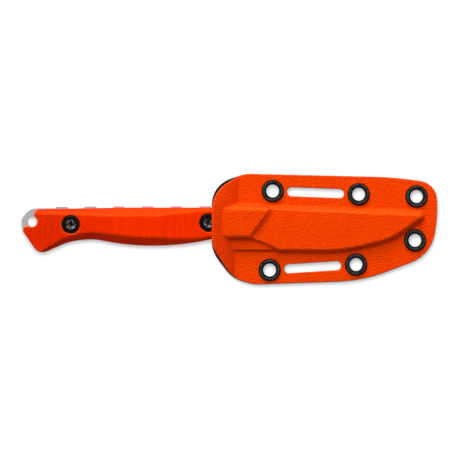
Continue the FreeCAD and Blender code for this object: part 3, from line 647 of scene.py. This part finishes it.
def shell(name, lower_mouth, upper_mouth, trim, lip_rise, mirrored):
    """One pressed shell, trimmed back by trim (mm) inside the edge line.

    At the distance d outside its line, a raised form's outer face has fallen from its top to the flat
    sheet by the share ((d - crest) / (foot - crest)) ^ power, and the forms and the flat join by the soft
    highest. The handle's form ends in a plane that falls by STEP_FALL per mm past the slanting line of
    the step. The lip is an arc across the mouth whose chord rises by lip_rise. Towards the spine it starts
    further in by a smooth step, and its rise is less by the square of the distance from LIP_FALL_START.
    No face stands above the lip's edge or the sheet over the handle, whichever is higher.
    """
    line = sheath_line(lower_mouth, upper_mouth)
    chord = math.hypot(LIP_LENGTH, lip_rise)
    radius = chord / (2 * math.sin(LIP_HALF_TURN))
    start = math.atan2(lip_rise, LIP_LENGTH) - LIP_HALF_TURN
    lip_x, lip_z = -radius * math.sin(start), SHEET + lip_rise - radius * math.cos(start)

    def edge(x, y):
        reach = distance(x, y, line) + trim
        for ex, ey in EYELETS.values():
            reach = np.maximum(reach, EYELET_HOLE - np.hypot(x - ex, y - ey))
        for row in SLOT_ROWS:
            reach = np.maximum(reach, slot_distance(x, y, row))
        return reach

    def lip(x, y, arc):
        way = np.clip((y - LIP_LEAN_START) / LIP_LEAN_LENGTH, 0, 1)
        longer = 1 + LIP_LEAN * way * way * (3 - 2 * way)
        rise = lip_z - SHEET + np.sqrt(np.maximum(arc * arc - (x / longer - lip_x) ** 2, 0))
        return SHEET + rise * (1 - LIP_FALL * (np.maximum(y - LIP_FALL_START, 0) / LIP_FALL_LENGTH) ** 2)

    def past_step(x, y):
        across = (x - STEP_PLACE[0]) * STEP_WAY[1] - (y - STEP_PLACE[1]) * STEP_WAY[0]
        return soft_max(across / math.hypot(*STEP_WAY), x - STEP_UPRIGHT, STEP_CORNER_BEND)

    def outer(x, y):
        height = np.full(x.shape, SHEET)
        spread = 1 + TIP_SPREAD * np.clip((x - TIP_SPREAD_START) / TIP_SPREAD_LENGTH, 0, 1)
        for form, top, crest, foot, power, crest_bend, foot_bend in FORMS:
            way = np.maximum((distance(x, y, form) - crest) / (foot - crest) / spread, 0)
            side = soft_min(top, top - (top - SHEET) * way ** power, crest_bend)
            if form is HANDLE_FORM:
                side = soft_min(side, top - STEP_FALL * (past_step(x, y) + STEP_START), STEP_BEND)
            height = soft_max(height, side, foot_bend)
        height = soft_max(height, lip(x, y, radius), LIP_BEND)
        ceiling = SHEET + max(lip_rise, HANDLE_POCKET_HEIGHT)
        return np.minimum(height, ceiling)

    def inner(x, y):
        height = np.zeros(x.shape)
        for pocket, top, shoulder in POCKETS:
            d = distance(x, y, pocket)
            side = np.minimum(top - (d - CLEARANCE + shoulder), WALL_SLOPE * (WALL_END - d))
            height = np.maximum(height, np.minimum(top, side))
        return np.maximum(height, lip(x, y, radius - SHEET))

    return trimmed_sheet(name, SHEATH_AREA, edge, outer, inner, mirrored)


def sheath_plastic(name, low, high, speck, crest_highlight_colour, gloss, tint):
    """Moulded sheet with a fine haircell grain: shallow ripples that run along the sheath, and specks.

    Low and high are the colours of its clouds, speck of its dots, and crest_highlight_colour that of the
    painted highlight with rubbed wear on its crests; gloss is how much it reflects, and tint the
    colour of that.
    """
    material, tree, shader, place = new_material(name)
    grain = add(tree, "Group", {"node_tree": GRAIN}, place=place, fine_per_mm=1.5, coarse_per_mm=0.1,
                coarse_share=0.4)
    crest_highlight_mask = add(tree, "Group", {"node_tree": CREST_HIGHLIGHT}, place=place, start=0.504, full=0.518, patch_per_mm=1.2)
    base = ramp(tree, grain.outputs["Cloud"], (0.3, low), (0.7, high))
    speckled = mixed(tree, grain.outputs["Speckle"], base, speck)
    # Painted highlight with rubbed wear: the crests get the lighter colour.
    crest_highlighted = mixed(tree, crest_highlight_mask.outputs["Mask"], speckled, crest_highlight_colour)
    matt = map_range(tree, grain.outputs["Height"], (0.4, 0.9), (0.42, 0.56))
    cells = add(tree, "TexVoronoi", {"feature": "DISTANCE_TO_EDGE"}, vector=place, scale=1500.0)
    cell = map_range(tree, cells.outputs["Distance"], (0.0, 0.3), eased=True)
    stretched = add(tree, "Mapping", in_0=place, scale=(1100.0, 2100.0, 2100.0))
    ripples = add(tree, "TexNoise", vector=stretched.outputs[0], scale=1.0, detail=1.0, distortion=0.6)
    pebbled = weighted(tree, cell, 0.2, grain.outputs["Height"])
    skin = weighted(tree, ripples.outputs[0], 3.0, pebbled)
    shader.inputs["Specular IOR Level"].default_value = gloss
    shader.inputs["Specular Tint"].default_value = tint
    dress(tree, shader, crest_highlighted, matt, skin, strength=1.0, depth=0.115)
    return material


shell_front = shell("sheath_front", [(-0.35, -11.1, 15.0), (9.5, -25.6, 14.0)],
                    [(13.9, 22.68, 12.0), (-0.35, 14.0, 15.0)], trim=0.12, lip_rise=6.0, mirrored=False)
shell_front.data.materials.append(sheath_plastic(
    "orange_sheath_plastic", low=(0.57, 0.0222, 0.0), high=(0.61, 0.0257, 0.0), speck=(0.65, 0.036, 0.0),
    crest_highlight_colour=(0.67, 0.058, 0.005), gloss=0.15, tint=ORANGE_SHEEN))
shell_rear = shell("sheath_rear", [(-0.35, -13.2, 15.0), (9.3, -25.7, 15.0)],
                   [(14.9, 22.57, 14.5), (-0.35, 17.3, 12.5)], trim=0.0, lip_rise=4.35, mirrored=True)
shell_rear.data.materials.append(sheath_plastic(
    "black_sheath_plastic", low=(0.004, 0.0038, 0.0038), high=(0.007, 0.0066, 0.0066),
    speck=(0.014, 0.013, 0.013), crest_highlight_colour=(0.02, 0.019, 0.019), gloss=0.06, tint=(1, 1, 1, 1)))
for piece, node, finish in ((shell_front, "sheath_front_shell", "orange_sheath"),
                            (shell_rear, "sheath_rear_shell", "black_sheath")):
    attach(piece, "sheath")
    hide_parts(node)


# ---- Eyelets ---------------------------------------------------------------------------------------
# Six hollow brass eyelets in black enamel. Each is pushed through both flanges from the front, where
# its domed flange sits, and its tube is rolled over on the back, which clamps the shells together.
EYELET_BORE = 2.95
EYELET_FLANGE = 5.15
EYELET_CREST = 4.35
DOME_HEIGHT = 1.0
DOME_INNER_FALL = 1.7
DOME_POINTS = 15
NECK_RADIUS = 3.3
BORE_END = -2.3
ROLL_MIDDLE = 3.725
ROLL_HALF_WIDTH = 0.775
ROLL_HEIGHT = 0.7
ROLL_POINTS = 13
# Heights above the middle plane between which the painted highlight on the crest sets in.
CREST_HIGHLIGHT_START = 2.88
CREST_HIGHLIGHT_FULL = 2.98


def black_enamel():
    """Black stove enamel with a slight orange peel, with a painted grey highlight along the crest of the
    dome.
    """
    material, tree, shader, place = new_material("black_enamel")
    grain = add(tree, "Group", {"node_tree": GRAIN}, place=place, fine_per_mm=1.4, coarse_per_mm=0.9,
                coarse_share=0.8)
    cloud = grain.outputs["Cloud"]
    level = add(tree, "SeparateXYZ", in_0=place).outputs[2]
    crest = map_range(tree, level, (ZERO[2] + CREST_HIGHLIGHT_START * MM, ZERO[2] + CREST_HIGHLIGHT_FULL * MM), eased=True)
    patchy = map_range(tree, cloud, (0.38, 0.62), (0.25, 1.0))
    black = ramp(tree, cloud, (0.3, (0.0022, 0.002, 0.002)), (0.7, (0.004, 0.0036, 0.0036)))
    # Painted highlight: the crest of the dome is lightened to grey in patches.
    crest_highlighted = mixed(tree, multiplied(tree, crest, patchy), black, (0.038, 0.035, 0.035))
    gloss = map_range(tree, cloud, (0.3, 0.7), (0.1, 0.22))
    shader.inputs["Specular IOR Level"].default_value = 0.02
    dress(tree, shader, crest_highlighted, gloss, grain.outputs["Height"], strength=0.3, depth=0.03)
    return material


ENAMEL = black_enamel()
# The dome is a quarter ellipse on each side of its crest, and the roll is half an ellipse.
spread = np.linspace(EYELET_BORE, EYELET_FLANGE, DOME_POINTS)
fall = np.where(spread < EYELET_CREST, DOME_INNER_FALL, EYELET_FLANGE - EYELET_CREST)
dome = SHEET + DOME_HEIGHT * np.sqrt(np.maximum(1 - ((spread - EYELET_CREST) / fall) ** 2, 0))
turns = np.linspace(0, math.pi, ROLL_POINTS)
roll = [(ROLL_MIDDLE + ROLL_HALF_WIDTH * math.cos(t), 0, -SHEET - ROLL_HEIGHT * math.sin(t)) for t in turns]
eyelet_profile = (
    [(EYELET_BORE, 0, BORE_END), (EYELET_BORE, 0, 0.0)]
    + [(radius, 0, height) for radius, height in zip(spread, dome)]
    + [(NECK_RADIUS, 0, SHEET), (NECK_RADIUS, 0, -SHEET), (ROLL_MIDDLE + ROLL_HALF_WIDTH, 0, -SHEET)]
    + roll + [(EYELET_BORE, 0, BORE_END)])
for name, centre in EYELETS.items():
    eyelet = turned("eyelet_" + name + "_ring", eyelet_profile, centre)
    eyelet.data.materials.append(ENAMEL)
    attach(eyelet, "sheath")
    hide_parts("eyelet_" + name)


# ---- Floor, light and camera -----------------------------------------------------------------------
# A white table under the knife, a broad soft lamp half way up beyond the spine, a low one behind it for
# the rims, and a small one overhead that alone lights the table, so that it takes the knife's close
# shadow and shows white where there is none. The camera looks straight down.
FLOOR_CORNERS = [(-3, -3, 0), (3, -3, 0), (3, 3, 0), (-3, 3, 0)]
FLOOR_GREY = (0.3, 0.3, 0.3, 1)
FLOOR_GLOW = 0.36
ROOM_LIGHT = 0.34
CAMERA_HEIGHT = 1.2
CAMERA_AIM = (0.25, -0.4)
VIEW_WIDTH = 210.7
SENSOR_WIDTH = 36.0


def seen_rays(tree):
    """1 for rays that the camera, a reflection or a clear body sees, and 0 for those that give light."""
    rays = add(tree, "LightPath").outputs
    seen = add(tree, "Math", {"operation": "MAXIMUM"}, in_0=rays["Is Camera Ray"], in_1=rays["Is Glossy Ray"])
    return add(tree, "Math", {"operation": "MAXIMUM"}, in_0=seen.outputs[0],
               in_1=rays["Is Transmission Ray"]).outputs[0]


def white_floor():
    """Diffuse grey whose own glow, seen by the camera and in reflections, lifts it to white where lit."""
    material = bpy.data.materials.new("white_floor")
    material.use_nodes = True
    tree = material.node_tree
    shader = tree.nodes["Principled BSDF"]
    shader.inputs["Base Color"].default_value = FLOOR_GREY
    shader.inputs["Roughness"].default_value = 0.9
    shader.inputs["Specular IOR Level"].default_value = 0.0
    shader.inputs["Emission Color"].default_value = (1, 1, 1, 1)
    tree.links.new(multiplied(tree, seen_rays(tree), FLOOR_GLOW), shader.inputs["Emission Strength"])
    return material


floor_mesh = bpy.data.meshes.new("floor")
floor_mesh.from_pydata(FLOOR_CORNERS, [], [(0, 1, 2, 3)])
floor_mesh.materials.append(white_floor())
floor = bpy.data.objects.new("floor", floor_mesh)
bpy.context.scene.collection.objects.link(floor)


def softbox(name, place, width, height, power):
    """Rectangular lamp at a place (m), turned to face the origin."""
    lamp = bpy.data.lights.new(name, "AREA")
    lamp.shape = "RECTANGLE"
    lamp.size = width
    lamp.size_y = height
    lamp.energy = power
    holder = bpy.data.objects.new(name, lamp)
    holder.location = place
    holder.rotation_euler = (-Vector(place)).to_track_quat("-Z", "Y").to_euler()
    bpy.context.scene.collection.objects.link(holder)
    return holder


key_light = softbox("key_light", (-0.58, 1.97, 2.04), width=1.8, height=1.8, power=104.0)
rim_light = softbox("rim_light", (-0.3, 2.50, 0.75), width=1.8, height=0.7, power=100.0)
table_light = softbox("table_light", (-0.03, 0.125, 0.98), width=0.3, height=0.3, power=22.0)
table_only = bpy.data.collections.new("table_only")
table_only.objects.link(floor)
table_light.light_linking.receiver_collection = table_only
not_table = bpy.data.collections.new("not_table")
not_table.objects.link(floor)
not_table.collection_objects[0].light_linking.link_state = "EXCLUDE"
key_light.light_linking.receiver_collection = not_table
rim_light.light_linking.receiver_collection = not_table

world = bpy.data.worlds.new("soft_room")
world.use_nodes = True
bpy.context.scene.world = world
sky = world.node_tree.nodes["Background"]
sky.inputs["Color"].default_value = (1, 1, 1, 1)
strength = map_range(world.node_tree, seen_rays(world.node_tree), (0.0, 1.0), (ROOM_LIGHT, 1.0))
world.node_tree.links.new(strength, sky.inputs["Strength"])

flange_height = ZERO[2] + SHEET * MM
camera_data = bpy.data.cameras.new("camera")
camera_data.sensor_width = SENSOR_WIDTH
camera_data.lens = SENSOR_WIDTH * CAMERA_HEIGHT / (VIEW_WIDTH * MM)
camera = bpy.data.objects.new("camera", camera_data)
camera.location = (CAMERA_AIM[0] * MM, CAMERA_AIM[1] * MM, flange_height + CAMERA_HEIGHT)
bpy.context.scene.collection.objects.link(camera)
bpy.context.scene.camera = camera
bpy.context.scene.view_settings.view_transform = "Standard"
